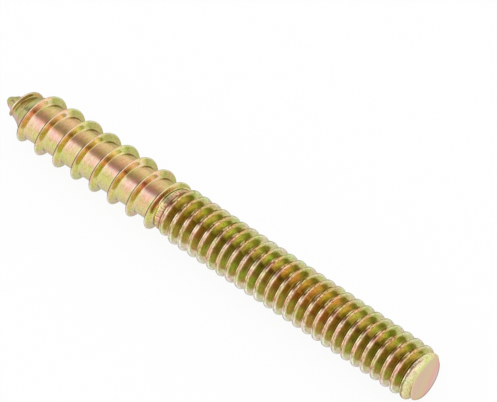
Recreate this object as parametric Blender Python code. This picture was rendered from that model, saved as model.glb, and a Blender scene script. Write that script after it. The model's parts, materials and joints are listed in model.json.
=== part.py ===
"""Dowel screw of the hanger-bolt kind, rolled from one bar of steel.

One half has a machine thread and a flat, chamfered end. The other half has a coarse wood thread
that runs down onto a blunt cone point, and a short plain collar parts the two threads.

The screw lies along X, in metres, with +Z up. The origin is the centre of the flat end, which
faces +X, and the point is at the -X end. In the functions below, depth is the distance from the
origin towards the point, and angle is measured round the bar from +Y, in the direction in which
the threads wind as they go deeper.
"""

import math
from collections import namedtuple

import bmesh
import bpy

MM = 0.001
FULL_TURN = 2.0 * math.pi

# Overall form. A hand of 1 winds right-handed and -1 left-handed, as in the photograph.
OVERALL_LENGTH = 46.7 * MM
THREAD_HAND = -1

# Machine thread
MACHINE_LENGTH = 27.55 * MM
MACHINE_DIAMETER = 4.826 * MM
MACHINE_ROOT_DIAMETER = 3.56 * MM
MACHINE_PITCH = 25.4 / 24.0 * MM
MACHINE_CREST_WIDTH = 0.34 * MM
MACHINE_FLANK_ANGLE = math.radians(26.0)
MACHINE_CREST_OFFSET = 0.10 * MM
MACHINE_RUN_OUT_TURNS = 0.5

# Flat end: sheared a little off square, chamfered, and with crests that start out low
END_FACE_DIAMETER = 3.84 * MM
END_TILT = math.radians(4.0)
END_TILT_TOWARDS = math.radians(213.0)
END_CHAMFER_ANGLE = math.radians(42.0)
END_CREST_SHARE = 0.84
END_LOW_TURNS = 1.7

# Plain collar between the threads
COLLAR_DIAMETER = 3.92 * MM
COLLAR_LENGTH = 0.45 * MM
COLLAR_SHOULDER = 0.12 * MM

# Wood thread
WOOD_DIAMETER = 5.05 * MM
WOOD_ROOT_DIAMETER = 3.84 * MM
WOOD_PITCH = 2.09 * MM
WOOD_CREST_WIDTH = 0.14 * MM
WOOD_FLANK_ANGLE = math.radians(25.0)
WOOD_OVER_COLLAR = 0.24 * MM
WOOD_RUN_IN_TURNS = 0.36

# Point: a cone with a rounded tip and a small flat pinched into its far side
POINT_HALF_ANGLE = math.radians(27.0)
POINT_TIP_RADIUS = 0.42 * MM
POINT_BARE_LENGTH = 0.45 * MM
POINT_RIDGE_HEIGHT = 0.50 * MM
POINT_RUN_OUT_TURNS = 0.75
POINT_FLAT_WIDTH = 1.0 * MM
POINT_FLAT_LENGTH = 2.3 * MM
POINT_FLAT_TOWARDS = math.radians(304.0)

# Facets. Mesh rows that come closer to a ring than SNAP are drawn onto it.
FACETS_PER_TURN = 30
COLLAR_RINGS = 6
TIP_RINGS = 3
SNAP = 0.02 * MM
SHARP_EDGE_ANGLE = math.radians(35.0)

# Places that follow from the sizes above
COLLAR_START = MACHINE_LENGTH - COLLAR_SHOULDER
COLLAR_END = COLLAR_START + COLLAR_LENGTH
TIP_CENTRE = OVERALL_LENGTH - POINT_TIP_RADIUS
TIP_START = TIP_CENTRE + POINT_TIP_RADIUS * math.sin(POINT_HALF_ANGLE)
TIP_START_RADIUS = POINT_TIP_RADIUS * math.cos(POINT_HALF_ANGLE)
CONE_LENGTH = (WOOD_ROOT_DIAMETER / 2.0 - TIP_START_RADIUS) / math.tan(POINT_HALF_ANGLE)
CONE_START = TIP_START - CONE_LENGTH
POINT_FLAT_START = TIP_START - POINT_FLAT_LENGTH
POINT_FLAT_RADIUS = TIP_START_RADIUS + POINT_FLAT_LENGTH * math.tan(POINT_HALF_ANGLE)
POINT_FLAT_SHARE = math.cos(math.asin(POINT_FLAT_WIDTH / 2.0 / POINT_FLAT_RADIUS))

# A thread's ridge. Turns are counted along the helix from first_crest, which is the depth of the
# crest at angle zero. Shares are (turn, part of the full height) pairs, in order.
Thread = namedtuple("Thread", "pitch root crest crest_width flank first_crest shares")


def machine_thread():
    """The fine ridge: a little low at the flat end, and run out at the collar."""
    last_turn = (MACHINE_LENGTH - MACHINE_CREST_OFFSET) / MACHINE_PITCH
    shares = [
        (0.0, END_CREST_SHARE),
        (END_LOW_TURNS, 1.0),
        (last_turn - MACHINE_RUN_OUT_TURNS, 1.0),
        (last_turn, 0.0),
    ]
    return Thread(
        pitch=MACHINE_PITCH,
        root=MACHINE_ROOT_DIAMETER / 2.0,
        crest=MACHINE_DIAMETER / 2.0,
        crest_width=MACHINE_CREST_WIDTH,
        flank=MACHINE_FLANK_ANGLE,
        first_crest=MACHINE_CREST_OFFSET,
        shares=shares,
    )


def wood_thread():
    """The coarse ridge: it rises out of the collar and runs out near the tip."""
    first_crest = COLLAR_END - WOOD_OVER_COLLAR
    last_turn = (OVERALL_LENGTH - POINT_BARE_LENGTH - first_crest) / WOOD_PITCH
    shares = [
        (-WOOD_RUN_IN_TURNS / 2.0, 0.0),
        (WOOD_RUN_IN_TURNS / 2.0, 1.0),
        (last_turn - POINT_RUN_OUT_TURNS, 1.0),
        (last_turn, 0.0),
    ]
    return Thread(
        pitch=WOOD_PITCH,
        root=WOOD_ROOT_DIAMETER / 2.0,
        crest=WOOD_DIAMETER / 2.0,
        crest_width=WOOD_CREST_WIDTH,
        flank=WOOD_FLANK_ANGLE,
        first_crest=first_crest,
        shares=shares,
    )


def interpolate(corners, place):
    """Value at a place on the line through (place, value) corners, level beyond its ends."""
    if place <= corners[0][0]:
        return corners[0][1]
    for (start, low), (end, high) in zip(corners, corners[1:]):
        if place < end:
            return low + (high - low) * (place - start) / (end - start)
    return corners[-1][1]


def cone_radius(depth):
    """Radius of the point's cone, which is larger than the shank before the cone starts."""
    return TIP_START_RADIUS + (TIP_START - depth) * math.tan(POINT_HALF_ANGLE)


def core_radius(depth):
    """Radius of the bar between the threads' ridges."""
    if depth > TIP_START:
        return math.sqrt(max(POINT_TIP_RADIUS**2 - (depth - TIP_CENTRE) ** 2, 0.0))
    corners = [
        (COLLAR_START - COLLAR_SHOULDER, MACHINE_ROOT_DIAMETER / 2.0),
        (COLLAR_START, COLLAR_DIAMETER / 2.0),
        (COLLAR_END, COLLAR_DIAMETER / 2.0),
        (COLLAR_END + COLLAR_SHOULDER, WOOD_ROOT_DIAMETER / 2.0),
        (CONE_START, WOOD_ROOT_DIAMETER / 2.0),
        (TIP_START, TIP_START_RADIUS),
    ]
    return interpolate(corners, depth)


def ridge_height(thread, turn):
    """Height of a ridge above its root, that many turns along the helix."""
    depth = thread.first_crest + thread.pitch * turn
    root = min(core_radius(depth), thread.root)
    full_height = min(thread.crest - thread.root, cone_radius(depth) + POINT_RIDGE_HEIGHT - root)
    return full_height * interpolate(thread.shares, turn)


def ridge_radius(thread, angle, depth):
    """Radius of the nearest turn of a thread's ridge, at a place on the screw."""
    turn_here = (depth - thread.first_crest) / thread.pitch
    turn = round(turn_here - angle / FULL_TURN) + angle / FULL_TURN
    crest_depth = thread.first_crest + thread.pitch * turn
    crest = min(core_radius(crest_depth), thread.root) + ridge_height(thread, turn)
    down_flank = max(abs(depth - crest_depth) - thread.crest_width / 2.0, 0.0)
    return crest - down_flank / math.tan(thread.flank)


def end_depth(angle, radius):
    """Depth of the flat end's plane, which is negative on the side that stands out."""
    return -radius * math.tan(END_TILT) * math.cos(angle - END_TILT_TOWARDS)


def surface_radius(threads, angle, depth):
    """Radius of the finished screw at a place on its surface."""
    core = core_radius(depth)
    radius = max(core, *[ridge_radius(thread, angle, depth) for thread in threads])
    face_radius = END_FACE_DIAMETER / 2.0
    below_face = depth - end_depth(angle, face_radius)
    radius = min(radius, face_radius + below_face * math.tan(END_CHAMFER_ANGLE))
    towards_flat = math.cos(angle - POINT_FLAT_TOWARDS)
    if depth > POINT_FLAT_START and towards_flat > 0.0:
        radius = min(radius, core * POINT_FLAT_SHARE / towards_flat)
    return radius


def thread_rows(thread, start, end, facet):
    """Depths, past both ends of a stretch, where a ridge's feet and crest edges cross a line."""
    first_turn = math.floor((start - thread.first_crest) / thread.pitch) - 2
    last_turn = math.ceil((end - thread.first_crest) / thread.pitch) + 2
    half_crest = thread.crest_width / 2.0
    depths = []
    for whole_turn in range(first_turn, last_turn):
        turn = (whole_turn * FACETS_PER_TURN + facet) / FACETS_PER_TURN
        crest_depth = thread.first_crest + thread.pitch * turn
        half_foot = half_crest + ridge_height(thread, turn) * math.tan(thread.flank)
        half_foot = min(half_foot, thread.pitch / 2.0 - SNAP)
        depths += [crest_depth - half_foot, crest_depth - half_crest]
        depths += [crest_depth + half_crest, crest_depth + half_foot]
    return depths


def drawn_in(depths, start, end):
    """The depths, with those outside a stretch or close to its ends drawn onto its ends."""
    drawn = [start if depth < start + SNAP else depth for depth in depths]
    return [end if depth > end - SNAP else depth for depth in drawn]


def line_depths(threads, facet, start):
    """Depths of all the mesh corners on one of the lines along the screw."""
    machine, wood = threads
    depths = drawn_in(thread_rows(machine, 0.0, COLLAR_START, facet), start, COLLAR_START)
    for ring in range(1, COLLAR_RINGS):
        depths.append(COLLAR_START + COLLAR_LENGTH * ring / COLLAR_RINGS)
    depths += drawn_in(thread_rows(wood, COLLAR_END, TIP_START, facet), COLLAR_END, TIP_START)
    for ring in range(1, TIP_RINGS):
        swing = POINT_HALF_ANGLE + (math.pi / 2.0 - POINT_HALF_ANGLE) * ring / TIP_RINGS
        depths.append(TIP_CENTRE + POINT_TIP_RADIUS * math.sin(swing))
    depths.append(OVERALL_LENGTH)
    return depths


class ScrewSkin:
    """The closed skin of the screw: a flat end, and lines of corners joined facet by facet."""

    def __init__(self):
        self.threads = (machine_thread(), wood_thread())
        self.mesh = bmesh.new()
        self.tip = self.mesh.verts.new((-OVERALL_LENGTH, 0.0, 0.0))
        self.corners = {}

    def start(self, facet):
        """Depth at which a line along the screw leaves the flat end."""
        angle = FULL_TURN * (facet % FACETS_PER_TURN) / FACETS_PER_TURN
        return end_depth(angle, END_FACE_DIAMETER / 2.0)

    def corner(self, facet, depth):
        """The mesh corner at a depth on a line, which neighbouring facets share."""
        if depth == OVERALL_LENGTH:
            return self.tip
        key = (facet % FACETS_PER_TURN, depth)
        if key not in self.corners:
            angle = FULL_TURN * key[0] / FACETS_PER_TURN
            radius = surface_radius(self.threads, angle, depth)
            if depth == self.start(facet):
                depth = end_depth(angle, radius)
            up = -THREAD_HAND * radius * math.sin(angle)
            self.corners[key] = self.mesh.verts.new((-depth, radius * math.cos(angle), up))
        return self.corners[key]

    def add_end_face(self):
        ring = [self.corner(facet, self.start(facet)) for facet in range(FACETS_PER_TURN)]
        self.mesh.faces.new(ring)

    def add_facet(self, facet):
        """The strip of faces between one line and the next."""
        here = line_depths(self.threads, facet, self.start(facet))
        after = line_depths(self.threads, facet + 1, self.start(facet + 1))
        for row in range(len(here) - 1):
            loop = [
                self.corner(facet, here[row]),
                self.corner(facet, here[row + 1]),
                self.corner(facet + 1, after[row + 1]),
                self.corner(facet + 1, after[row]),
            ]
            loop = list(dict.fromkeys(loop))
            if len(loop) > 2:
                self.mesh.faces.new(loop)

    def finish(self, name):
        """The skin as a mesh of triangles, shaded smooth between its sharp edges."""
        bmesh.ops.triangulate(self.mesh, faces=self.mesh.faces)
        bmesh.ops.recalc_face_normals(self.mesh, faces=self.mesh.faces)
        mesh = bpy.data.meshes.new(name)
        self.mesh.to_mesh(mesh)
        self.mesh.free()
        mesh.shade_smooth()
        mesh.set_sharp_from_angle(angle=SHARP_EDGE_ANGLE)
        return mesh


def yellow_zinc():
    """Steel with a yellow chromate on its zinc plate."""
    material = bpy.data.materials.new("yellow_zinc")
    material.use_nodes = True
    shader = material.node_tree.nodes["Principled BSDF"]
    shader.inputs["Base Color"].default_value = (0.74, 0.62, 0.33, 1.0)
    shader.inputs["Metallic"].default_value = 1.0
    shader.inputs["Roughness"].default_value = 0.3
    return material


def main():
    for old in list(bpy.data.objects):
        bpy.data.objects.remove(old, do_unlink=True)
    skin = ScrewSkin()
    skin.add_end_face()
    for facet in range(FACETS_PER_TURN):
        skin.add_facet(facet)
    screw = bpy.data.objects.new("dowel_screw", skin.finish("dowel_screw"))
    screw.data.materials.append(yellow_zinc())
    bpy.context.scene.collection.objects.link(screw)


main()
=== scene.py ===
import json
import math
from collections import namedtuple

import bpy
import numpy as np
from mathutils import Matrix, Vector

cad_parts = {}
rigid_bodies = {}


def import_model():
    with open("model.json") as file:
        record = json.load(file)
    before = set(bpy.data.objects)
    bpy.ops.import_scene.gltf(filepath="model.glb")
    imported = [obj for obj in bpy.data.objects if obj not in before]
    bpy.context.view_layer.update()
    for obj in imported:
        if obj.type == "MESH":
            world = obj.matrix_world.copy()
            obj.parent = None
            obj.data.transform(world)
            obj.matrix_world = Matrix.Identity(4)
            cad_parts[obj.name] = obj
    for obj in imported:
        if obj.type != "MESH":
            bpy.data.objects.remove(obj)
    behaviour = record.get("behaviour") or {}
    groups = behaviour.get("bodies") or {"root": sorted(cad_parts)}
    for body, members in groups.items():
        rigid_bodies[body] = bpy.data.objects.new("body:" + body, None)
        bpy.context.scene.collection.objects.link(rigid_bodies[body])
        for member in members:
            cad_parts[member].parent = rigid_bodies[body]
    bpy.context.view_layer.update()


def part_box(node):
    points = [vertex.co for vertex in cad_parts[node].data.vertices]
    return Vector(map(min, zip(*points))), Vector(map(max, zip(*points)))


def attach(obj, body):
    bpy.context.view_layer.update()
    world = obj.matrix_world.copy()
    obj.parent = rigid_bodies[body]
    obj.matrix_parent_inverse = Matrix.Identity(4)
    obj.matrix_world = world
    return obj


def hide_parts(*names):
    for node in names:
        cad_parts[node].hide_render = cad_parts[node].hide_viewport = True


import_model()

MM = 0.001
FULL_TURN = 2.0 * math.pi

# Sizes of the screw, in millimetres. They are the CAD model's, but for the machine thread's
# flank angle, which is 26 degrees there, without the bend below. A hand of -1 winds left-handed.
OVERALL_LENGTH = 46.7
THREAD_HAND = -1
MACHINE_LENGTH = 27.55
MACHINE_DIAMETER = 4.826
MACHINE_ROOT_DIAMETER = 3.56
MACHINE_PITCH = 25.4 / 24.0
MACHINE_CREST_WIDTH = 0.34
MACHINE_FLANK_ANGLE = math.radians(28.0)
MACHINE_CREST_OFFSET = 0.10
MACHINE_RUN_OUT_TURNS = 0.5
END_FACE_DIAMETER = 3.84
END_TILT = math.radians(4.0)
END_TILT_TOWARDS = math.radians(213.0)
END_CHAMFER_ANGLE = math.radians(42.0)
END_CREST_SHARE = 0.84
END_LOW_TURNS = 1.7
COLLAR_LENGTH = 0.45
COLLAR_SHOULDER = 0.12
WOOD_DIAMETER = 5.05
WOOD_ROOT_DIAMETER = 3.84
WOOD_PITCH = 2.09
WOOD_CREST_WIDTH = 0.14
WOOD_FLANK_ANGLE = math.radians(25.0)
WOOD_OVER_COLLAR = 0.24
WOOD_RUN_IN_TURNS = 0.36
POINT_HALF_ANGLE = math.radians(27.0)
POINT_TIP_RADIUS = 0.42
POINT_BARE_LENGTH = 0.45
POINT_RIDGE_HEIGHT = 0.50
POINT_RUN_OUT_TURNS = 0.75
POINT_FLAT_WIDTH = 1.0
POINT_FLAT_LENGTH = 2.3
POINT_FLAT_TOWARDS = math.radians(304.0)

# Places that follow from them
COLLAR_START = MACHINE_LENGTH - COLLAR_SHOULDER
COLLAR_END = COLLAR_START + COLLAR_LENGTH
TIP_CENTRE = OVERALL_LENGTH - POINT_TIP_RADIUS
TIP_START = TIP_CENTRE + POINT_TIP_RADIUS * math.sin(POINT_HALF_ANGLE)
TIP_START_RADIUS = POINT_TIP_RADIUS * math.cos(POINT_HALF_ANGLE)
CONE_LENGTH = (WOOD_ROOT_DIAMETER / 2.0 - TIP_START_RADIUS) / math.tan(POINT_HALF_ANGLE)
CONE_START = TIP_START - CONE_LENGTH
POINT_FLAT_START = TIP_START - POINT_FLAT_LENGTH
POINT_FLAT_RADIUS = TIP_START_RADIUS + POINT_FLAT_LENGTH * math.tan(POINT_HALF_ANGLE)
POINT_FLAT_SHARE = math.cos(math.asin(POINT_FLAT_WIDTH / 2.0 / POINT_FLAT_RADIUS))

# Fine form that only this skin has, in millimetres: rounded edges, flanks that are steeper near
# the crest, the last machine groove rolled shut beside the collar, and a burr on the flat end's
# rim
MACHINE_CREST_ROUNDING = 0.07
WOOD_CREST_ROUNDING = 0.04
MACHINE_ROOT_ROUNDING = 0.05
WOOD_ROOT_ROUNDING = 0.07
EDGE_ROUNDING = 0.03
UPPER_FLANK_ANGLE = math.radians(20.0)
MACHINE_FLANK_BEND = 0.12
WOOD_FLANK_BEND = 0.10
FLANK_BEND_ROUNDING = 0.06
COLLAR_FILL = 0.38
COLLAR_FILL_DIAMETER = 4.08
BURR_ANGLE = math.radians(27.0)
BURR_SPREAD = math.radians(5.0)
BURR_DEPTH = 0.15
BURR_WIDTH = 0.06
BURR_HEIGHT = 0.09

# The chamfer cuts no deeper than this below the flat end, in millimetres
CHAMFER_REACH = 1.0

# Mesh lines along the bar, and where the rows lie across each thread, as distances from the
# crest's middle. A row that ends up within SNAP of the end of its stretch is drawn onto it.
FACETS = 108
MACHINE_ROWS = (0.0, 0.07, 0.12, 0.155, 0.18, 0.22, 0.28, 0.35, 0.42, 0.465, 0.50)
WOOD_CREST_ROWS = (0.0, 0.04, 0.065, 0.09, 0.13, 0.18, 0.24, 0.29, 0.33)
WOOD_ROWS = WOOD_CREST_ROWS + (0.348, 0.356, 0.375, 0.40, 0.47, 0.60, 0.75, 0.90)
EDGE_ROWS = (0.0, 0.012, 0.03, 0.06)
COLLAR_ROWS = 12
TIP_ROWS = 8
FACE_ROWS = 8
SNAP = 0.004

# Turns laid past each end of a stretch, digits to which depths at one corner agree, the
# cosine that keeps a division finite, and the faces that tell inside from outside
SPARE_TURNS = 2
DEPTH_DIGITS = 6
SMALLEST_COSINE = 0.01
SAMPLE_FACES = 2000

# Over which distances one part's tint fades into the next, in millimetres: along the bar for
# the crest, and in radius for the others
CREST_FADE = 0.04
RIDGE_FADE = 0.08
COLLAR_FADE = (0.03, 0.09)
CHAMFER_FADE = (-0.04, -0.02)

# Turns at the machine thread's very end, where its ridge is too low to count as a crest
LOW_END_TURNS = 0.25

# Tints of the plate, by degrees round the bar. Degrees are counted from the side that faces the
# photograph's camera, and grow downwards from there. The tables of tints were tuned until the
# render's mean colours met those measured in the photograph, by degrees and by place on the
# thread. So they hold its studio's light and shade as well as the plate's own colour.
CAMERA_SIDE = math.radians(124.0)
SHANK_TINTS = (
    (-180.0, (0.84, 0.60, 0.36)),
    (-120.0, (0.70, 0.56, 0.30)),
    (-70.0, (0.56, 0.42, 0.18)),
    (-56.0, (0.80, 0.60, 0.27)),
    (-34.0, (0.80, 0.55, 0.25)),
    (-18.0, (0.88, 0.48, 0.22)),
    (-4.0, (0.98, 0.49, 0.34)),
    (4.0, (0.97, 0.62, 0.50)),
    (14.0, (0.96, 0.63, 0.49)),
    (21.0, (0.91, 0.60, 0.38)),
    (29.0, (0.80, 0.59, 0.29)),
    (40.0, (0.76, 0.62, 0.27)),
    (58.0, (0.72, 0.59, 0.33)),
    (70.0, (0.84, 0.70, 0.52)),
    (80.0, (0.95, 0.80, 0.70)),
    (130.0, (0.76, 0.62, 0.30)),
    (180.0, (0.84, 0.60, 0.36)),
)
BESIDE_RIDGE_TINTS = (
    (-180.0, (0.84, 0.62, 0.36)),
    (-70.0, (0.54, 0.42, 0.17)),
    (-50.0, (0.80, 0.64, 0.30)),
    (-30.0, (0.86, 0.66, 0.30)),
    (-16.0, (0.80, 0.58, 0.26)),
    (-4.0, (0.78, 0.50, 0.28)),
    (2.0, (1.0, 0.82, 0.62)),
    (18.0, (0.98, 0.82, 0.58)),
    (32.0, (0.80, 0.70, 0.34)),
    (60.0, (0.74, 0.61, 0.40)),
    (180.0, (0.84, 0.62, 0.36)),
)
WOOD_FLANK_TINTS = (
    (-180.0, (0.62, 0.52, 0.22)),
    (-90.0, (0.52, 0.49, 0.19)),
    (-64.0, (0.43, 0.41, 0.12)),
    (-54.0, (0.68, 0.60, 0.22)),
    (-44.0, (1.0, 0.84, 0.60)),
    (-38.0, (1.0, 0.82, 0.60)),
    (-30.0, (0.92, 0.74, 0.42)),
    (-18.0, (0.96, 0.75, 0.44)),
    (-10.0, (0.75, 0.56, 0.28)),
    (0.0, (1.0, 0.68, 0.42)),
    (10.0, (1.0, 0.78, 0.54)),
    (17.0, (0.86, 0.60, 0.26)),
    (29.0, (0.72, 0.61, 0.24)),
    (40.0, (0.74, 0.64, 0.26)),
    (55.0, (0.67, 0.58, 0.20)),
    (70.0, (0.66, 0.58, 0.30)),
    (90.0, (0.75, 0.69, 0.52)),
    (180.0, (0.62, 0.52, 0.22)),
)
WOOD_SHOULDER_TINTS = (
    (-180.0, (0.62, 0.52, 0.22)),
    (-90.0, (0.53, 0.50, 0.19)),
    (-64.0, (0.42, 0.40, 0.13)),
    (-54.0, (0.76, 0.66, 0.28)),
    (-42.0, (1.0, 0.76, 0.46)),
    (-26.0, (1.0, 0.70, 0.44)),
    (-12.0, (0.96, 0.64, 0.44)),
    (2.0, (1.0, 0.60, 0.40)),
    (12.0, (1.0, 0.64, 0.40)),
    (24.0, (0.82, 0.57, 0.25)),
    (40.0, (0.80, 0.67, 0.25)),
    (55.0, (0.68, 0.59, 0.21)),
    (70.0, (0.67, 0.58, 0.30)),
    (90.0, (0.75, 0.69, 0.52)),
    (180.0, (0.62, 0.52, 0.22)),
)
WOOD_CREST_TINTS = (
    (-180.0, (0.78, 0.56, 0.35)),
    (-78.0, (0.80, 0.76, 0.54)),
    (-58.0, (0.80, 0.70, 0.42)),
    (-40.0, (0.90, 0.62, 0.36)),
    (-26.0, (1.0, 0.78, 0.46)),
    (-12.0, (0.98, 0.64, 0.42)),
    (6.0, (0.86, 0.66, 0.43)),
    (20.0, (0.62, 0.42, 0.24)),
    (30.0, (0.70, 0.49, 0.28)),
    (40.0, (0.78, 0.52, 0.34)),
    (58.0, (0.86, 0.76, 0.62)),
    (84.0, (0.90, 0.86, 0.76)),
    (180.0, (0.78, 0.56, 0.35)),
)
# The wood crest's edge on the point's side. Its dark stops from -6 to 45 degrees are painted
# shade.
WOOD_EDGE_TINTS_AND_SHADE = (
    (-180.0, (0.50, 0.40, 0.26)),
    (-50.0, (0.74, 0.60, 0.38)),
    (-30.0, (0.90, 0.70, 0.46)),
    (-18.0, (0.64, 0.46, 0.30)),
    (-6.0, (0.14, 0.09, 0.05)),
    (45.0, (0.07, 0.05, 0.02)),
    (58.0, (0.46, 0.40, 0.26)),
    (90.0, (0.62, 0.56, 0.42)),
    (180.0, (0.50, 0.40, 0.26)),
)
MACHINE_FLANK_TINTS = (
    (-180.0, (0.52, 0.44, 0.17)),
    (-90.0, (0.64, 0.59, 0.33)),
    (-72.0, (0.56, 0.52, 0.20)),
    (-56.0, (0.44, 0.41, 0.10)),
    (-45.0, (0.64, 0.60, 0.23)),
    (-33.0, (0.76, 0.69, 0.28)),
    (-20.0, (0.84, 0.71, 0.29)),
    (-10.0, (0.88, 0.72, 0.29)),
    (-4.0, (0.50, 0.36, 0.13)),
    (4.0, (0.44, 0.32, 0.11)),
    (26.0, (0.43, 0.335, 0.13)),
    (40.0, (0.56, 0.52, 0.20)),
    (52.0, (0.58, 0.52, 0.20)),
    (64.0, (0.61, 0.53, 0.25)),
    (84.0, (0.76, 0.68, 0.52)),
    (130.0, (0.52, 0.46, 0.18)),
    (180.0, (0.52, 0.44, 0.17)),
)
MACHINE_SHOULDER_TINTS = (
    (-180.0, (0.66, 0.50, 0.30)),
    (-84.0, (0.70, 0.68, 0.50)),
    (-72.0, (0.57, 0.54, 0.33)),
    (-61.0, (0.46, 0.43, 0.17)),
    (-50.0, (0.46, 0.38, 0.12)),
    (-42.0, (0.78, 0.58, 0.28)),
    (-33.0, (1.0, 0.69, 0.46)),
    (-22.0, (1.0, 0.69, 0.49)),
    (-14.0, (1.0, 0.70, 0.56)),
    (-6.0, (1.0, 0.67, 0.56)),
    (4.0, (0.88, 0.63, 0.60)),
    (12.0, (0.92, 0.66, 0.62)),
    (18.0, (0.78, 0.54, 0.48)),
    (26.0, (0.69, 0.50, 0.33)),
    (36.0, (0.65, 0.51, 0.26)),
    (50.0, (0.43, 0.35, 0.11)),
    (60.0, (0.46, 0.44, 0.20)),
    (71.0, (0.58, 0.58, 0.36)),
    (88.0, (0.92, 0.92, 0.86)),
    (180.0, (0.66, 0.50, 0.30)),
)
# Painted shade behind each machine crest, multiplied onto the thread's side. At some degrees it
# lightens and pinks the side instead.
SHADE_BEHIND_CREST_TINTS = (
    (-180.0, (1.0, 1.0, 1.0)),
    (-56.0, (1.0, 1.0, 1.0)),
    (-46.0, (0.90, 0.84, 0.56)),
    (-38.0, (0.52, 0.46, 0.18)),
    (-18.0, (0.44, 0.39, 0.14)),
    (-6.0, (0.76, 0.76, 0.42)),
    (12.0, (0.88, 0.88, 0.46)),
    (26.0, (0.92, 0.82, 0.54)),
    (38.0, (1.12, 0.82, 0.74)),
    (48.0, (1.24, 0.80, 1.0)),
    (62.0, (1.0, 0.94, 0.90)),
    (180.0, (1.0, 1.0, 1.0)),
)
CREST_FRONT_TINTS = (
    (-180.0, (0.66, 0.50, 0.30)),
    (-84.0, (0.80, 0.78, 0.60)),
    (-72.0, (0.78, 0.75, 0.48)),
    (-61.0, (0.78, 0.72, 0.40)),
    (-48.0, (0.68, 0.55, 0.23)),
    (-38.0, (0.72, 0.47, 0.16)),
    (-24.0, (1.0, 0.65, 0.34)),
    (-14.0, (0.86, 0.54, 0.29)),
    (-6.0, (0.66, 0.40, 0.24)),
    (4.0, (0.92, 0.66, 0.47)),
    (12.0, (1.0, 0.73, 0.54)),
    (18.0, (0.86, 0.62, 0.45)),
    (26.0, (0.82, 0.60, 0.38)),
    (36.0, (0.75, 0.57, 0.32)),
    (50.0, (0.72, 0.61, 0.33)),
    (60.0, (0.92, 0.87, 0.68)),
    (71.0, (0.94, 0.94, 0.84)),
    (88.0, (0.90, 0.90, 0.84)),
    (180.0, (0.66, 0.50, 0.30)),
)
CREST_BACK_TINTS = (
    (-180.0, (0.78, 0.62, 0.40)),
    (-78.0, (0.95, 0.94, 0.76)),
    (-61.0, (0.94, 0.88, 0.54)),
    (-52.0, (0.92, 0.80, 0.40)),
    (-46.0, (0.26, 0.20, 0.05)),
    (-35.0, (0.27, 0.18, 0.03)),
    (-29.0, (0.64, 0.43, 0.14)),
    (-22.0, (1.0, 0.90, 0.50)),
    (-16.0, (0.95, 0.70, 0.30)),
    (-11.0, (0.37, 0.20, 0.05)),
    (-5.0, (0.61, 0.34, 0.17)),
    (2.0, (1.0, 0.86, 0.62)),
    (10.0, (1.0, 0.90, 0.66)),
    (18.0, (0.84, 0.56, 0.33)),
    (31.0, (1.0, 0.71, 0.44)),
    (38.0, (0.86, 0.49, 0.27)),
    (43.0, (0.54, 0.28, 0.14)),
    (52.0, (0.96, 0.80, 0.64)),
    (60.0, (1.0, 0.95, 0.84)),
    (78.0, (0.96, 0.95, 0.88)),
    (180.0, (0.78, 0.62, 0.40)),
)
POINT_TINTS = (
    (-180.0, (0.60, 0.52, 0.26)),
    (-80.0, (0.46, 0.40, 0.23)),
    (-40.0, (0.58, 0.52, 0.24)),
    (-20.0, (0.66, 0.60, 0.28)),
    (0.0, (0.60, 0.56, 0.25)),
    (12.0, (0.50, 0.54, 0.20)),
    (19.0, (0.56, 0.60, 0.24)),
    (27.0, (0.72, 0.54, 0.44)),
    (36.0, (0.80, 0.56, 0.56)),
    (70.0, (0.88, 0.68, 0.66)),
    (180.0, (0.60, 0.52, 0.26)),
)
POINT_CREST_TINTS = (
    (-180.0, (0.50, 0.42, 0.30)),
    (-70.0, (0.62, 0.50, 0.30)),
    (-30.0, (0.96, 0.80, 0.56)),
    (0.0, (1.0, 0.84, 0.62)),
    (14.0, (0.86, 0.62, 0.46)),
    (30.0, (0.50, 0.40, 0.30)),
    (180.0, (0.50, 0.42, 0.30)),
)

# Plain numbers by the same degrees: how much of a pitch the painted shade behind a machine
# crest takes, how deeply the crest is scored, and how strong the drift along the screw is
SHADE_BEHIND_CREST_REACH = (
    (-180.0, 0.20),
    (-44.0, 0.22),
    (-36.0, 0.42),
    (-28.0, 0.52),
    (-18.0, 0.55),
    (-8.0, 0.54),
    (2.0, 0.42),
    (20.0, 0.30),
    (40.0, 0.26),
    (180.0, 0.20),
)
CREST_SCORING = (
    (-180.0, 0.3),
    (-48.0, 0.3),
    (-36.0, 1.0),
    (-16.0, 1.0),
    (-6.0, 0.6),
    (10.0, 0.5),
    (30.0, 0.5),
    (48.0, 0.2),
    (180.0, 0.3),
)
DRIFT_SHARE = (
    (-180.0, 0.3),
    (-58.0, 0.3),
    (-42.0, 1.0),
    (18.0, 1.0),
    (36.0, 0.3),
    (180.0, 0.3),
)

# The tint's drift along the screw, by millimetres from the flat end
LENGTH_TINTS = (
    (0.0, (1.0, 1.02, 0.9)),
    (3.0, (1.0, 0.96, 0.9)),
    (6.5, (0.95, 1.04, 0.9)),
    (9.5, (1.10, 0.90, 0.80)),
    (14.0, (1.12, 0.86, 0.78)),
    (16.5, (0.93, 1.05, 0.9)),
    (21.0, (0.96, 1.04, 0.9)),
    (24.5, (1.05, 0.97, 0.85)),
    (28.0, (1.06, 0.94, 1.0)),
    (31.0, (1.10, 0.92, 1.05)),
    (34.0, (0.98, 1.05, 0.80)),
    (38.0, (0.96, 1.07, 0.78)),
    (41.0, (1.06, 0.98, 1.10)),
    (50.0, (1.10, 0.96, 1.20)),
)

# The collar, by millimetres beyond the last machine crest. Its dark first stops, in the groove
# beside that crest, are painted shade.
COLLAR_TINTS_AND_SHADE = (
    (0.30, (0.42, 0.21, 0.15)),
    (0.44, (0.48, 0.25, 0.17)),
    (0.52, (0.86, 0.58, 0.38)),
    (0.72, (0.95, 0.67, 0.42)),
    (0.79, (0.77, 0.59, 0.29)),
    (0.84, (1.0, 0.96, 0.48)),
    (1.0, (1.0, 0.94, 0.42)),
)

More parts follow.
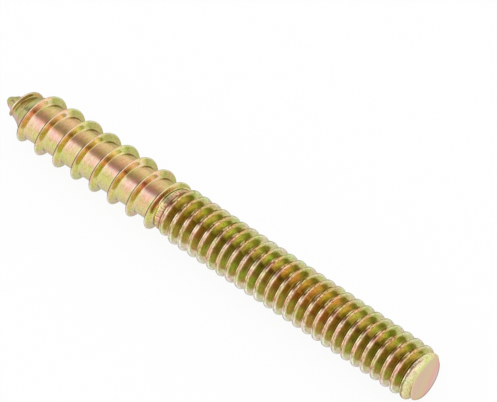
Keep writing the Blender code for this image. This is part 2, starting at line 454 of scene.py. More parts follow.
# The chamfer and the first groove, by winding as a share of this many millimetres
CHAMFER_SPAN = 0.8
CHAMFER_TINTS = (
    (0.0, (0.84, 0.77, 0.40)),
    (0.24, (0.98, 0.88, 0.56)),
    (0.42, (1.0, 0.93, 0.66)),
    (0.48, (0.34, 0.20, 0.10)),
    (0.58, (0.34, 0.20, 0.10)),
    (0.64, (1.0, 0.94, 0.70)),
    (0.80, (1.0, 0.88, 0.66)),
)

# The flat end's face: a direction across it and the millimetres that its tints span, and a
# direction and the millimetres where its patch begins
FACE_ACROSS = (0.0, 0.75, -0.65)
FACE_SPAN = 4.0
FACE_TINTS = (
    (0.0, (0.80, 0.66, 0.38)),
    (0.20, (0.78, 0.57, 0.42)),
    (0.34, (0.78, 0.55, 0.44)),
    (0.46, (0.74, 0.60, 0.40)),
    (0.58, (0.76, 0.60, 0.39)),
    (0.68, (0.84, 0.54, 0.42)),
    (0.78, (0.83, 0.50, 0.44)),
    (0.88, (0.80, 0.56, 0.52)),
)
FACE_PATCH_TOWARDS = (0.0, -0.20, 0.98)
FACE_PATCH = (1.1, 1.6)
FACE_PATCH_TINT = (0.76, 0.78, 0.33)

# The noises that vary the plate: how fine each is along the bar and in both ways across it, its
# detail and its distortion
STREAKS = ((9.0, 1.2, 1.2), 4.0, 0.0)
CLOUD = ((0.9, 0.9, 0.9), 3.0, 0.6)
DRIFT = ((0.35, 0.5, 0.5), 1.0, 0.0)
GRAIN = ((16.0, 4.0, 4.0), 2.0, 0.0)
TICKS = ((2.5, 10.0, 10.0), 2.0, 0.0)
NOISE_MIDDLE = 0.5

# The share of a turn by which the drift moves the tints round the bar
AROUND_DRIFT = 0.10

# Shades by a noise: blotches all over, brushed grain, scored crests, and scratches on the collar
# and the chamfer
WHITE = (1.0, 1.0, 1.0)
BLOTCH_SHADES = (
    (0.36, (0.90, 1.05, 0.80)),
    (0.50, WHITE),
    (0.66, (1.07, 0.92, 1.02)),
)
BRUSHED_SHADES = (
    (0.34, (0.78, 0.76, 0.72)),
    (0.50, WHITE),
    (0.66, (1.10, 1.10, 1.14)),
)
BRUSHED_SHARE = 0.8
SCORE_SHADES = (
    (0.38, (0.42, 0.31, 0.28)),
    (0.49, WHITE),
)
SCRATCH_SHADES = (
    (0.34, (0.38, 0.29, 0.20)),
    (0.44, (0.78, 0.70, 0.57)),
    (0.52, WHITE),
)
COLLAR_SCRATCHES = 0.85
CHAMFER_SCRATCHES = 0.5

# Where one tint passes into the next across a thread: pairs of places from the crest's middle,
# in millimetres, or pairs of heights, as shares of the ridge's full height
WOOD_EDGE = (-0.03, 0.01)
WOOD_SHOULDER = (0.52, 0.84)
# The foot of the wood thread's first turn on the collar, darkened with painted shade
WOOD_FOOT_FRONT = (-0.42, -0.36)
WOOD_FOOT_BACK = (-0.22, -0.30)
WOOD_FOOT_SHADE_TINT = (0.26, 0.18, 0.05)
BESIDE_RIDGE = (0.66, 0.40)
BESIDE_RIDGE_SHARE = 0.7
MACHINE_SHOULDER = (0.54, 0.84)
MACHINE_SHOULDER_SIDE = (0.10, 0.0)
# Painted shade that darkens the machine thread's root, by height
ROOT_PAINTED_SHADE = (
    (0.02, (0.48, 0.44, 0.18)),
    (0.18, WHITE),
)
# Heights over which the painted shade behind a machine crest fades out
SHADE_BEHIND_CREST_HEIGHT = (0.35, 0.15)

# How softly the painted shade behind a machine crest ends, as shares of a pitch about its reach
SHADE_BEHIND_CREST_EDGE = (0.06, -0.06)

# The seam along the machine crest, in millimetres from the crest's middle. Its shades go by
# the distance from its own middle, as a share of its span.
SEAM = (-0.06, 0.0)
SEAM_MIDDLE = -0.03
SEAM_WOBBLE = 0.12
SEAM_SPAN = 0.1
SEAM_SHADES = (
    (0.15, (0.50, 0.40, 0.34)),
    (0.50, WHITE),
)
SEAM_SHARE = 0.75

# The point, the first groove and the chamfer. The first two begin and end at a winding, which
# is the depth in millimetres less the thread's climb since the camera's side. The
# chamfer's top and low side are shares of a turn, 0.5 on that side.
POINT_PLACE = (43.05, 43.3)
POINT_RIDGE_TINT = (0.50, 0.36, 0.12)
FIRST_GROOVE = (0.66, 0.54)
FIRST_GROOVE_SHARE = 0.85
CHAMFER_RAGGEDNESS = 0.35
CHAMFER_TOP = (0.38, 0.45)
CHAMFER_TOP_TINT = (0.90, 0.82, 0.46)
CHAMFER_LOW_SIDE = (0.56, 0.63)
CHAMFER_LOW_TINT = (1.0, 0.86, 0.94)

# Gloss and bump of the plate
ROUGHNESS = 0.17
SPECULAR_TINT = (0.62, 0.58, 0.50)
BUMP_STRENGTH = 0.25
BUMP_DISTANCE = 0.02 * MM

# What the metal mirrors: the studio's brightness by degrees from the front, over the top
OVERHEAD_LEVELS = (
    (-180.0, 0.68),
    (40.0, 1.0),
    (50.0, 0.97),
    (56.0, 0.82),
    (63.0, 0.50),
    (70.0, 0.38),
    (84.0, 0.38),
    (98.0, 0.54),
    (110.0, 0.70),
    (122.0, 0.84),
    (136.0, 0.94),
    (152.0, 0.93),
    (170.0, 0.72),
    (180.0, 0.68),
)

# How much of the studio is plain white instead, by how far a direction points out of the
# flat end
END_LEVELS = (
    (0.0, 0.0),
    (0.3, 0.7),
    (0.8, 1.0),
)

# The floor: its reach in metres, its colour, and the share of it that is plain white to the eye,
# so that the rest keeps the screw's shadow
FLOOR_REACH = 2.0
FLOOR_COLOUR = (0.93, 0.93, 0.93)
FLOOR_WHITE = 0.92

# The photograph's camera: sensor and lens in millimetres, its turn in degrees, and its place
# and clipping in metres
SENSOR_WIDTH = 36.0
LENS = 416.19
CAMERA_DEGREES = (42.709, 0.0, 42.112)
CAMERA_PLACE = (0.1938571, -0.2357982, 0.3515500)
CAMERA_CLIP = (0.01, 10.0)

# The colour sockets of Blender's Mix node: its first and second input, and its output
MIX_FIRST = 6
MIX_SECOND = 7
MIX_RESULT = 2

# A thread's sizes, in millimetres. Its ridge has these shares of its full height at these
# places, in turns from the first crest. Its rows are distances from the crest's middle.
Thread = namedtuple(
    "Thread",
    "pitch root crest crest_width flank bend first_crest rounding places shares rows",
)


def machine_thread():
    last_turn = (MACHINE_LENGTH - MACHINE_CREST_OFFSET) / MACHINE_PITCH
    return Thread(
        pitch=MACHINE_PITCH,
        root=MACHINE_ROOT_DIAMETER / 2.0,
        crest=MACHINE_DIAMETER / 2.0,
        crest_width=MACHINE_CREST_WIDTH,
        flank=MACHINE_FLANK_ANGLE,
        bend=MACHINE_FLANK_BEND,
        first_crest=MACHINE_CREST_OFFSET,
        rounding=MACHINE_CREST_ROUNDING,
        places=(0.0, END_LOW_TURNS, last_turn - MACHINE_RUN_OUT_TURNS, last_turn),
        shares=(END_CREST_SHARE, 1.0, 1.0, 0.0),
        rows=MACHINE_ROWS,
    )


def wood_thread():
    first_crest = COLLAR_END - WOOD_OVER_COLLAR
    last_turn = (OVERALL_LENGTH - POINT_BARE_LENGTH - first_crest) / WOOD_PITCH
    half_run_in = WOOD_RUN_IN_TURNS / 2.0
    return Thread(
        pitch=WOOD_PITCH,
        root=WOOD_ROOT_DIAMETER / 2.0,
        crest=WOOD_DIAMETER / 2.0,
        crest_width=WOOD_CREST_WIDTH,
        flank=WOOD_FLANK_ANGLE,
        bend=WOOD_FLANK_BEND,
        first_crest=first_crest,
        rounding=WOOD_CREST_ROUNDING,
        places=(-half_run_in, half_run_in, last_turn - POINT_RUN_OUT_TURNS, last_turn),
        shares=(0.0, 1.0, 1.0, 0.0),
        rows=WOOD_ROWS,
    )


def soft_max(first, second, rounding):
    """The larger of two values, with the corner where they cross rounded off."""
    return 0.5 * (first + second + np.sqrt((first - second) ** 2 + rounding**2))


def soft_min(first, second, rounding):
    """The smaller of two values, with the corner where they cross rounded off."""
    return 0.5 * (first + second - np.sqrt((first - second) ** 2 + rounding**2))


def rise(value, low, high):
    """Straight rise from 0 to 1 as the value goes from low to high."""
    return np.clip((value - low) / (high - low), 0.0, 1.0)


def core_radius(depth):
    """Radius of the bar between the threads' ridges."""
    places = (
        COLLAR_START - COLLAR_FILL - COLLAR_SHOULDER,
        COLLAR_START - COLLAR_FILL,
        COLLAR_END + COLLAR_SHOULDER,
        COLLAR_END + 2.0 * COLLAR_SHOULDER,
        CONE_START,
        TIP_START,
    )
    radii = (
        MACHINE_ROOT_DIAMETER / 2.0,
        COLLAR_FILL_DIAMETER / 2.0,
        COLLAR_FILL_DIAMETER / 2.0,
        WOOD_ROOT_DIAMETER / 2.0,
        WOOD_ROOT_DIAMETER / 2.0,
        TIP_START_RADIUS,
    )
    dome = np.sqrt(np.maximum(POINT_TIP_RADIUS**2 - (depth - TIP_CENTRE) ** 2, 0.0))
    return np.where(depth > TIP_START, dome, np.interp(depth, places, radii))


def ridge(thread, angle, depth):
    """Radius of the nearest turn of a thread's ridge, and how far past its crest a place is."""
    turn_here = (depth - thread.first_crest) / thread.pitch
    turn = np.round(turn_here - angle / FULL_TURN) + angle / FULL_TURN
    crest_depth = thread.first_crest + thread.pitch * turn
    root = np.minimum(core_radius(crest_depth), thread.root)
    cone = TIP_START_RADIUS + (TIP_START - crest_depth) * math.tan(POINT_HALF_ANGLE)
    full_height = np.minimum(thread.crest - thread.root, cone + POINT_RIDGE_HEIGHT - root)
    crest = root + full_height * np.interp(turn, thread.places, thread.shares)
    away = depth - crest_depth
    half_crest = thread.crest_width / 2.0
    down_flank = soft_max(np.abs(away) - half_crest, 0.0, thread.rounding)
    down_flank -= soft_max(-half_crest, 0.0, thread.rounding)
    upper_fall = down_flank / math.tan(UPPER_FLANK_ANGLE)
    fall_at_bend = thread.bend / math.tan(UPPER_FLANK_ANGLE)
    lower_fall = (down_flank - thread.bend) / math.tan(thread.flank) + fall_at_bend
    return crest - soft_min(upper_fall, lower_fall, FLANK_BEND_ROUNDING), away


def end_depth(angle, radius):
    """Depth of the flat end's plane, which is negative on the side that stands out."""
    return -radius * math.tan(END_TILT) * np.cos(angle - END_TILT_TOWARDS)


def burr_height(angle, below_face):
    """Height of the burr on the flat end's rim, which is next to nothing elsewhere."""
    round_bar = (angle - BURR_ANGLE) / BURR_SPREAD
    along_bar = (below_face - BURR_DEPTH) / BURR_WIDTH
    return BURR_HEIGHT * np.exp(-(round_bar**2 + along_bar**2))


def pinched(radius, core, angle, depth):
    """The radius, cut back by the flat that is pinched into the point's far side."""
    towards_flat = np.cos(angle - POINT_FLAT_TOWARDS)
    flat = core * POINT_FLAT_SHARE / np.maximum(towards_flat, SMALLEST_COSINE)
    on_flat = (depth > POINT_FLAT_START) & (towards_flat > 0.0)
    return np.where(on_flat, np.minimum(radius, flat), radius)


def surface(threads, angle, depth):
    """Radius of the screw at places on its surface, and the facts that the material reads."""
    machine, wood = threads
    core = core_radius(depth)
    machine_radius, machine_away = ridge(machine, angle, depth)
    wood_radius, wood_away = ridge(wood, angle, depth)
    radius = soft_max(core, machine_radius, MACHINE_ROOT_ROUNDING)
    radius = soft_max(radius, wood_radius, WOOD_ROOT_ROUNDING)
    radius = np.where(depth > TIP_START, core, radius)
    face_radius = END_FACE_DIAMETER / 2.0
    below_face = depth - end_depth(angle, face_radius)
    near_face = below_face < CHAMFER_REACH
    chamfer = face_radius + below_face * math.tan(END_CHAMFER_ANGLE)
    radius = np.where(near_face, soft_min(radius, chamfer, EDGE_ROUNDING), radius)
    radius += burr_height(angle, below_face)
    radius = pinched(radius, core, angle, depth)

    is_wood = depth > (COLLAR_START + COLLAR_END) / 2.0
    away = np.where(is_wood, wood_away, machine_away)
    pitch = np.where(is_wood, wood.pitch, machine.pitch)
    half_crest = np.where(is_wood, wood.crest_width, machine.crest_width) / 2.0
    full_height = np.where(is_wood, wood.crest - wood.root, machine.crest - machine.root)
    over_core = radius - core
    from_camera_side = (angle - CAMERA_SIDE + FULL_TURN / 2.0) % FULL_TURN - FULL_TURN / 2.0
    whole_turns = np.floor(machine.places[-1] - LOW_END_TURNS - angle / FULL_TURN)
    last_crest = machine.first_crest + machine.pitch * (whole_turns + angle / FULL_TURN)
    near_collar = (depth > COLLAR_START - COLLAR_FILL) & (depth < COLLAR_END + COLLAR_SHOULDER)
    return radius, {
        "wood": is_wood.astype(float),
        "crest": rise(half_crest - np.abs(away), -CREST_FADE, 0.0),
        "away": away,
        "past": np.mod(away / pitch, 1.0),
        "beyond": np.maximum(depth - last_crest, 0.0),
        "height": rise(over_core, 0.0, full_height),
        "winding": depth - pitch * (from_camera_side / FULL_TURN),
        "collar": near_collar * (1.0 - rise(over_core, *COLLAR_FADE)),
        "ridge": rise(over_core, 0.0, RIDGE_FADE),
        "chamfer": near_face * rise(radius - chamfer, *CHAMFER_FADE),
    }


class Skin:
    """Closed skin of the screw: corners on mesh lines along the bar, and the faces between."""

    def __init__(self):
        self.threads = (machine_thread(), wood_thread())
        self.ids = {}
        self.lines = []
        self.depths = []
        self.faces = []

    def corner(self, line, depth):
        line = line % FACETS
        key = (line, round(float(depth), DEPTH_DIGITS))
        if key not in self.ids:
            self.ids[key] = len(self.lines)
            self.lines.append(line)
            self.depths.append(float(depth))
        return self.ids[key]

    def add_stretch(self, rows_of_line):
        """Faces between each line and the next, from a function that gives a line's depths."""
        for line in range(FACETS):
            here = [self.corner(line, depth) for depth in rows_of_line(line)]
            after = [self.corner(line + 1, depth) for depth in rows_of_line(line + 1)]
            for row in range(len(here) - 1):
                loop = [here[row], here[row + 1], after[row + 1], after[row]]
                loop = list(dict.fromkeys(loop))
                if len(loop) > 2:
                    self.faces.append(loop)

    def add_ring(self, outer, inner):
        """Faces from one ring of corners on the flat end to the next, or to its centre."""
        for line in range(FACETS):
            after = (line + 1) % FACETS
            loop = [outer[after], inner[after], inner[line], outer[line]]
            self.faces.append(list(dict.fromkeys(loop)))


def rim_depth(line):
    """Depth of the flat end's rim on a mesh line."""
    angle = FULL_TURN * (line % FACETS) / FACETS
    return float(end_depth(angle, END_FACE_DIAMETER / 2.0))


def helix_rows(thread, start, end):
    """Depths of a thread's mesh rows on the line at angle zero, past both ends of a stretch."""
    offsets = sorted({*thread.rows, *[-row for row in thread.rows], thread.pitch / 2.0})
    first_turn = math.floor((start - thread.first_crest) / thread.pitch) - SPARE_TURNS
    last_turn = math.ceil((end - thread.first_crest) / thread.pitch) + SPARE_TURNS
    crests = thread.first_crest + thread.pitch * np.arange(first_turn, last_turn)
    return (crests[:, None] + np.array(offsets)).ravel()


def drawn_in(depths, low, high):
    """Row depths between two ends, with every row past an end, or close to it, drawn onto it."""
    depths = np.where(depths < low + SNAP, low, depths)
    return np.where(depths > high - SNAP, high, depths)


def lay_bar(skin):
    """Lays the skin from the flat end's rim to the tip."""
    machine, wood = skin.threads
    machine_rows = helix_rows(machine, 0.0, COLLAR_START)
    wood_rows = helix_rows(wood, COLLAR_END, TIP_START)
    collar = np.linspace(COLLAR_START, COLLAR_END, COLLAR_ROWS)
    swing = np.linspace(POINT_HALF_ANGLE, math.pi / 2.0, TIP_ROWS)
    tip = TIP_CENTRE + POINT_TIP_RADIUS * np.sin(swing)
    tip[0] = TIP_START
    tip[-1] = OVERALL_LENGTH

    def machine_line(line):
        rows = machine_rows + machine.pitch * line / FACETS
        return drawn_in(rows, rim_depth(line) + EDGE_ROWS[-1], COLLAR_START)

    def wood_line(line):
        return drawn_in(wood_rows + wood.pitch * line / FACETS, COLLAR_END, TIP_START)

    skin.add_stretch(lambda line: [rim_depth(line) + row for row in EDGE_ROWS])
    skin.add_stretch(machine_line)
    skin.add_stretch(lambda line: collar)
    skin.add_stretch(wood_line)
    skin.add_stretch(lambda line: tip)


def build_screw():
    """The whole screw as one closed mesh, with the facts that the material reads."""
    skin = Skin()
    lay_bar(skin)
    angle = FULL_TURN * np.array(skin.lines) / FACETS
    depth = np.array(skin.depths)
    radius, facts = surface(skin.threads, angle, depth)
    radius[depth >= OVERALL_LENGTH] = 0.0
    rim = [skin.corner(line, rim_depth(line)) for line in range(FACETS)]
    depth[rim] = end_depth(angle[rim], radius[rim])

    ring_angle = np.tile(FULL_TURN * np.arange(FACETS) / FACETS, FACE_ROWS - 1)
    ring_shares = 1.0 - np.arange(1, FACE_ROWS) / FACE_ROWS
    ring_radius = np.repeat(radius[rim[0]] * ring_shares, FACETS)
    first_new = len(angle)
    rings = first_new + np.arange(len(ring_angle)).reshape(FACE_ROWS - 1, FACETS)
    centre = first_new + len(ring_angle)
    outer = rim
    for inner in [*rings.tolist(), [centre] * FACETS]:
        skin.add_ring(outer, inner)
        outer = inner
    angle = np.concatenate([angle, ring_angle, [0.0]])
    depth = np.concatenate([depth, end_depth(ring_angle, ring_radius), [0.0]])
    radius = np.concatenate([radius, ring_radius, [0.0]])
    facts = {name: np.pad(values, (0, len(angle) - first_new)) for name, values in facts.items()}
    facts["face"] = np.zeros(len(angle))
    facts["face"][rim] = 1.0
    facts["face"][first_new:] = 1.0

    mesh = bpy.data.meshes.new("screw_skin")
    y = radius * np.cos(angle)
    z = -THREAD_HAND * radius * np.sin(angle)
    vertices = np.stack([-depth, y, z], axis=1) * MM
    mesh.from_pydata(vertices.tolist(), [], skin.faces)
    for name, values in facts.items():
        layer = mesh.attributes.new(name, "FLOAT", "POINT")
        layer.data.foreach_set("value", values.astype(np.float32))
    mesh.validate()
    mesh.shade_smooth()
    face_outwards(mesh)
    screw = bpy.data.objects.new("screw_skin", mesh)
    bpy.context.scene.collection.objects.link(screw)
    return screw


def face_outwards(mesh):
    """Flips the faces if they point inwards, which depends on the threads' hand."""
    volume = 0.0
    for polygon in mesh.polygons[:SAMPLE_FACES]:
        volume += polygon.normal.y * polygon.center.y + polygon.normal.z * polygon.center.z
    if volume < 0.0:
        mesh.flip_normals()


def degrees(stops):
    """Stops given in degrees, from -180 to 180, as shares of a turn."""
    return [(math.radians(angle) / FULL_TURN + 0.5, colour) for angle, colour in stops]


def greys(stops):
    """Stops that hold plain numbers, as colours that a ramp can hold."""
    return [(place, (value,) * 3) for place, value in stops]


class Nodes:
    """Adds and links the nodes of one shader tree."""

    def __init__(self, tree):
        self.tree = tree

    def add(self, kind, **settings):
        node = self.tree.nodes.new(kind)
        for name, value in settings.items():
            setattr(node, name, value)
        return node

    def put(self, value, socket):
        """Sets a socket to a number or a colour, or links the output of another node to it."""
        if isinstance(value, (int, float)):
            socket.default_value = value
        elif isinstance(value, tuple):
            socket.default_value = (*value, 1.0)
        else:
            self.tree.links.new(value, socket)

    def maths(self, operation, *values):
        node = self.add("ShaderNodeMath", operation=operation)
        for socket, value in zip(node.inputs, values):
            self.put(value, socket)
        return node.outputs["Value"]

    def plus(self, first, second):
        return self.maths("ADD", first, second)

    def minus(self, first, second):
        return self.maths("SUBTRACT", first, second)

    def times(self, first, second):
        return self.maths("MULTIPLY", first, second)

    def over(self, first, second):
        return self.maths("DIVIDE", first, second)

    def mix(self, share, first, second, blend="MIX"):
        node = self.add("ShaderNodeMix", data_type="RGBA", blend_type=blend)
        self.put(share, node.inputs["Factor"])
        self.put(first, node.inputs[MIX_FIRST])
        self.put(second, node.inputs[MIX_SECOND])
        return node.outputs[MIX_RESULT]

    def shade(self, share, colour, shade):
        """A colour multiplied by a share of another."""
        return self.mix(share, colour, shade, "MULTIPLY")

    def ramp(self, value, stops):
        """A colour that changes with a value from 0 to 1."""
        node = self.add("ShaderNodeValToRGB")
        elements = node.color_ramp.elements
        while len(elements) < len(stops):
            elements.new(0.5)  # each gets its own place below
        for element, (place, colour) in zip(elements, stops):
            element.position = place
            element.color = (*colour, 1.0)
        self.put(value, node.inputs["Fac"])
        return node.outputs["Color"]

    def step(self, value, limits):
        """Smooth rise from 0 to 1 as the value goes from the first limit to the second."""
        node = self.add("ShaderNodeMapRange", interpolation_type="SMOOTHSTEP")
        node.inputs["From Min"].default_value = limits[0]
        node.inputs["From Max"].default_value = limits[1]
        self.put(value, node.inputs["Value"])
        return node.outputs["Result"]

    def vector_maths(self, operation, vector, other):
        node = self.add("ShaderNodeVectorMath", operation=operation)
        node.inputs[1].default_value = other
        self.put(vector, node.inputs[0])
        return node

    def dot(self, vector, direction):
        return self.vector_maths("DOT_PRODUCT", vector, direction).outputs["Value"]

    def stretch(self, vector, factors):
        return self.vector_maths("MULTIPLY", vector, factors).outputs["Vector"]


class Plate(Nodes):
    """The plate's tints, with the light and shade painted into them, mixed from noises and from
    places on the screw.
    """

    def __init__(self, tree):
        super().__init__(tree)
        place = self.add("ShaderNodeTexCoord").outputs["Object"]
        self.millimetres = self.stretch(place, (1.0 / MM,) * 3)
        self.streaks = self.noise(*STREAKS)
        self.grain = self.noise(*GRAIN)
        self.ticks = self.noise(*TICKS)
        self.around = self.round_the_bar()
        self.wood = self.fact("wood")
        self.on_ridge = self.fact("ridge")
        self.away = self.fact("away")
        self.height = self.fact("height")
        self.winding = self.fact("winding")
        self.along = self.along_the_bar()
        self.drift_share = self.number_round(DRIFT_SHARE)
        self.scratched = self.ramp(self.ticks, SCRATCH_SHADES)

    def fact(self, name):
        """A value that the skin holds at its corners."""
        return self.add("ShaderNodeAttribute", attribute_name=name).outputs["Fac"]

    def noise(self, factors, detail, distortion):
        """A noise from 0 to 1 over the screw, by one of the settings above."""
        node = self.add("ShaderNodeTexNoise")
        node.inputs["Scale"].default_value = 1.0
        node.inputs["Detail"].default_value = detail
        node.inputs["Distortion"].default_value = distortion
        self.put(self.stretch(self.millimetres, factors), node.inputs["Vector"])
        return node.outputs["Fac"]

    def round_the_bar(self):
        """Angle round the bar as a share of a turn, 0.5 on the photograph's camera's side."""
        towards = (0.0, math.cos(CAMERA_SIDE), math.sin(CAMERA_SIDE))
        across = (0.0, -math.sin(CAMERA_SIDE), math.cos(CAMERA_SIDE))
        angle = self.maths(
            "ARCTAN2", self.dot(self.millimetres, across), self.dot(self.millimetres, towards)
        )
        share = self.plus(self.over(angle, FULL_TURN), 0.5)
        drift = self.minus(self.noise(*DRIFT), NOISE_MIDDLE)
        return self.plus(share, self.times(drift, AROUND_DRIFT))

    def along_the_bar(self):
        """The tint's drift along the bar."""
        length = LENGTH_TINTS[-1][0]
        depth = self.dot(self.millimetres, (-1.0, 0.0, 0.0))
        stops = [(place / length, tint) for place, tint in LENGTH_TINTS]
        return self.ramp(self.times(depth, 1.0 / length), stops)

    def tint_round(self, stops):
        """A colour that changes round the bar."""
        return self.ramp(self.around, degrees(stops))

    def number_round(self, stops):
        """A plain number that changes round the bar."""
        return self.tint_round(greys(stops))

    def wood_side(self):
        """Sides of the wood thread, and the bar between its turns."""
        low = self.tint_round(WOOD_FLANK_TINTS)
        high = self.tint_round(WOOD_SHOULDER_TINTS)
        flank = self.mix(self.step(self.height, WOOD_SHOULDER), low, high)
        flank = self.shade(self.drift_share, flank, self.along)
        near_foot = self.step(self.maths("ABSOLUTE", self.away), BESIDE_RIDGE)
        bar = self.mix(
            self.times(near_foot, BESIDE_RIDGE_SHARE),
            self.tint_round(SHANK_TINTS),
            self.tint_round(BESIDE_RIDGE_TINTS),
        )
        return self.mix(self.on_ridge, bar, flank)

    def wood_crest(self):
        """Crest of the wood thread, with a dark edge of painted shade on the point's side."""
        edge = self.step(self.away, WOOD_EDGE)
        return self.mix(edge, self.tint_round(WOOD_CREST_TINTS), self.tint_round(WOOD_EDGE_TINTS_AND_SHADE))

    def machine_side(self):
        """Sides and root of the machine thread, with painted shade in the root and behind each
        crest.
        """
        side = self.shade(self.drift_share, self.tint_round(MACHINE_FLANK_TINTS), self.along)
        # Painted shade darkens the root
        side = self.shade(1.0, side, self.ramp(self.height, ROOT_PAINTED_SHADE))
        # Painted shade behind each crest, over the share of a pitch that its reach gives
        past_reach = self.minus(self.fact("past"), self.number_round(SHADE_BEHIND_CREST_REACH))
        behind = self.step(past_reach, SHADE_BEHIND_CREST_EDGE)
        behind = self.times(behind, self.step(self.height, SHADE_BEHIND_CREST_HEIGHT))
        side = self.shade(behind, side, self.tint_round(SHADE_BEHIND_CREST_TINTS))
        shoulder = self.step(self.height, MACHINE_SHOULDER)
        shoulder = self.times(shoulder, self.step(self.away, MACHINE_SHOULDER_SIDE))
        return self.mix(shoulder, side, self.tint_round(MACHINE_SHOULDER_TINTS))

    def machine_crest(self):
        """Front and back of the machine crest, with the seam between them and its scoring."""
        wobble = self.times(self.minus(self.streaks, NOISE_MIDDLE), SEAM_WOBBLE)
        place = self.plus(self.away, wobble)
        front = self.tint_round(CREST_FRONT_TINTS)
        crest = self.mix(self.step(place, SEAM), front, self.tint_round(CREST_BACK_TINTS))
        off_seam = self.maths("ABSOLUTE", self.minus(place, SEAM_MIDDLE))
        seam = self.ramp(self.times(off_seam, 1.0 / SEAM_SPAN), SEAM_SHADES)
        crest = self.shade(SEAM_SHARE, crest, seam)
        scored = self.ramp(self.grain, SCORE_SHADES)
        return self.shade(self.number_round(CREST_SCORING), crest, scored)

    def threads(self):
        """Both threads and the point."""
        side = self.mix(self.wood, self.machine_side(), self.wood_side())
        crest = self.mix(self.wood, self.machine_crest(), self.wood_crest())
        on_point = self.step(self.winding, POINT_PLACE)
        point = self.mix(self.on_ridge, self.tint_round(POINT_TINTS), POINT_RIDGE_TINT)
        side = self.mix(on_point, side, point)
        crest = self.mix(on_point, crest, self.tint_round(POINT_CREST_TINTS))
        return self.mix(self.fact("crest"), side, crest)

    def with_collar(self, colour):
        """Adds the collar, with painted shade at the foot of the wood thread's first turn on it.
        """
        collar = self.ramp(self.fact("beyond"), COLLAR_TINTS_AND_SHADE)
        foot = self.times(
            self.step(self.away, WOOD_FOOT_FRONT), self.step(self.away, WOOD_FOOT_BACK)
        )
        collar = self.mix(self.times(foot, self.wood), collar, WOOD_FOOT_SHADE_TINT)
        collar = self.shade(COLLAR_SCRATCHES, collar, self.scratched)
        return self.mix(self.fact("collar"), colour, collar)

    def with_chamfer(self, colour):
        """Adds the chamfer of the flat end, and the first groove beside it."""
        ragged = self.times(self.minus(self.ticks, NOISE_MIDDLE), CHAMFER_RAGGEDNESS)
        place = self.times(self.plus(self.winding, ragged), 1.0 / CHAMFER_SPAN)
        chamfer = self.ramp(place, CHAMFER_TINTS)
        chamfer = self.mix(self.step(self.around, CHAMFER_TOP), CHAMFER_TOP_TINT, chamfer)
        chamfer = self.shade(CHAMFER_SCRATCHES, chamfer, self.scratched)
        groove = self.times(self.step(self.winding, FIRST_GROOVE), FIRST_GROOVE_SHARE)
        low_side = self.times(groove, self.step(self.around, CHAMFER_LOW_SIDE))
        chamfer = self.shade(low_side, chamfer, CHAMFER_LOW_TINT)
        return self.mix(self.maths("MAXIMUM", self.fact("chamfer"), groove), colour, chamfer)

    def with_face(self, colour):
        """Adds the flat end's face, which is neither brushed nor blotched."""
        across = self.times(self.dot(self.millimetres, FACE_ACROSS), 1.0 / FACE_SPAN)
        face = self.ramp(self.plus(across, 0.5), FACE_TINTS)
        patch = self.step(self.dot(self.millimetres, FACE_PATCH_TOWARDS), FACE_PATCH)
        face = self.mix(patch, face, FACE_PATCH_TINT)
        return self.mix(self.fact("face"), colour, face)

    def whole(self):
        """The colour of the whole screw."""
        colour = self.with_chamfer(self.with_collar(self.threads()))
        colour = self.shade(BRUSHED_SHARE, colour, self.ramp(self.grain, BRUSHED_SHADES))
        colour = self.shade(1.0, colour, self.ramp(self.noise(*CLOUD), BLOTCH_SHADES))
        return self.with_face(colour)


def yellow_zinc():
    """Zinc plate with a yellow chromate, in tints tuned to the photograph, with painted light and
    shade in them.
    """
    material = bpy.data.materials.new("yellow_zinc")
    material.use_nodes = True
    plate = Plate(material.node_tree)
    shader = material.node_tree.nodes["Principled BSDF"]
    plate.put(plate.whole(), shader.inputs["Base Color"])
    plate.put(1.0, shader.inputs["Metallic"])
    plate.put(ROUGHNESS, shader.inputs["Roughness"])
    plate.put(SPECULAR_TINT, shader.inputs["Specular Tint"])
    bump = plate.add("ShaderNodeBump")
    plate.put(BUMP_STRENGTH, bump.inputs["Strength"])
    plate.put(BUMP_DISTANCE, bump.inputs["Distance"])
    plate.put(plate.streaks, bump.inputs["Height"])
    plate.put(bump.outputs["Normal"], shader.inputs["Normal"])
    return material


def add_camera():
    """The photograph's viewing angle: a long lens that looks down along the screw."""
    camera = bpy.data.objects.new("camera", bpy.data.cameras.new("camera"))
    camera.data.sensor_width = SENSOR_WIDTH
    camera.data.lens = LENS
    camera.data.clip_start, camera.data.clip_end = CAMERA_CLIP
    camera.rotation_euler = [math.radians(angle) for angle in CAMERA_DEGREES]
    camera.location = CAMERA_PLACE
    bpy.context.scene.collection.objects.link(camera)
    bpy.context.scene.camera = camera


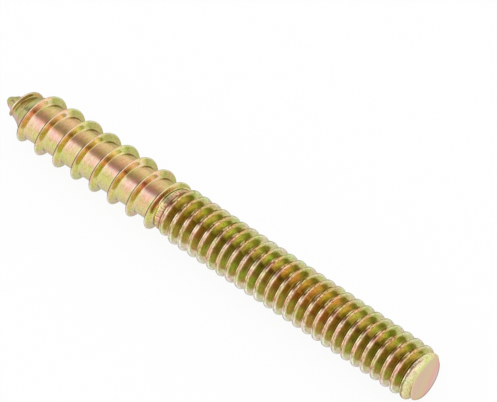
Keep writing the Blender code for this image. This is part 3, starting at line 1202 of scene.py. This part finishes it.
def add_floor(height):
    """Pale floor, which the camera and the metal see as white outside the screw's shadow."""
    mesh = bpy.data.meshes.new("floor")
    signs = ((-1, -1), (1, -1), (1, 1), (-1, 1))
    corners = [(FLOOR_REACH * x, FLOOR_REACH * y, height) for x, y in signs]
    mesh.from_pydata(corners, [], [(0, 1, 2, 3)])
    floor = bpy.data.objects.new("floor", mesh)
    bpy.context.scene.collection.objects.link(floor)
    material = bpy.data.materials.new("floor")
    material.use_nodes = True
    nodes = Nodes(material.node_tree)
    shader = material.node_tree.nodes["Principled BSDF"]
    nodes.put(FLOOR_COLOUR, shader.inputs["Base Color"])
    nodes.put(1.0, shader.inputs["Roughness"])
    nodes.put(0.0, shader.inputs["Specular IOR Level"])
    white = nodes.add("ShaderNodeEmission")
    rays = nodes.add("ShaderNodeLightPath").outputs
    seen = nodes.maths("MAXIMUM", rays["Is Camera Ray"], rays["Is Glossy Ray"])
    blend = nodes.add("ShaderNodeMixShader")
    nodes.put(nodes.times(seen, FLOOR_WHITE), blend.inputs["Fac"])
    nodes.put(shader.outputs["BSDF"], blend.inputs[1])
    nodes.put(white.outputs["Emission"], blend.inputs[2])
    output = material.node_tree.nodes["Material Output"]
    nodes.put(blend.outputs["Shader"], output.inputs["Surface"])
    mesh.materials.append(material)


def add_world():
    """White studio, which the metal mirrors as a bright tent with a darker band overhead."""
    world = bpy.data.worlds.new("studio")
    world.use_nodes = True
    nodes = Nodes(world.node_tree)
    parts = nodes.add("ShaderNodeSeparateXYZ")
    nodes.put(nodes.add("ShaderNodeTexCoord").outputs["Generated"], parts.inputs["Vector"])
    front = nodes.times(parts.outputs["Y"], -1.0)
    swing = nodes.maths("ARCTAN2", parts.outputs["Z"], front)
    share = nodes.over(nodes.plus(swing, math.pi), FULL_TURN)
    overhead = nodes.ramp(share, degrees(greys(OVERHEAD_LEVELS)))
    beyond = nodes.ramp(parts.outputs["X"], greys(END_LEVELS))
    tent = nodes.mix(beyond, overhead, WHITE)
    mirrored = nodes.add("ShaderNodeLightPath").outputs["Is Glossy Ray"]
    background = world.node_tree.nodes["Background"]
    nodes.put(nodes.mix(mirrored, WHITE, tent), background.inputs["Color"])
    nodes.put(1.0, background.inputs["Strength"])
    bpy.context.scene.world = world


bpy.context.scene.view_settings.view_transform = "Standard"
screw = build_screw()
screw.data.materials.append(yellow_zinc())
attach(screw, "root")
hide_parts("dowel_screw")
add_camera()
add_floor(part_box("dowel_screw")[0].z)
add_world()
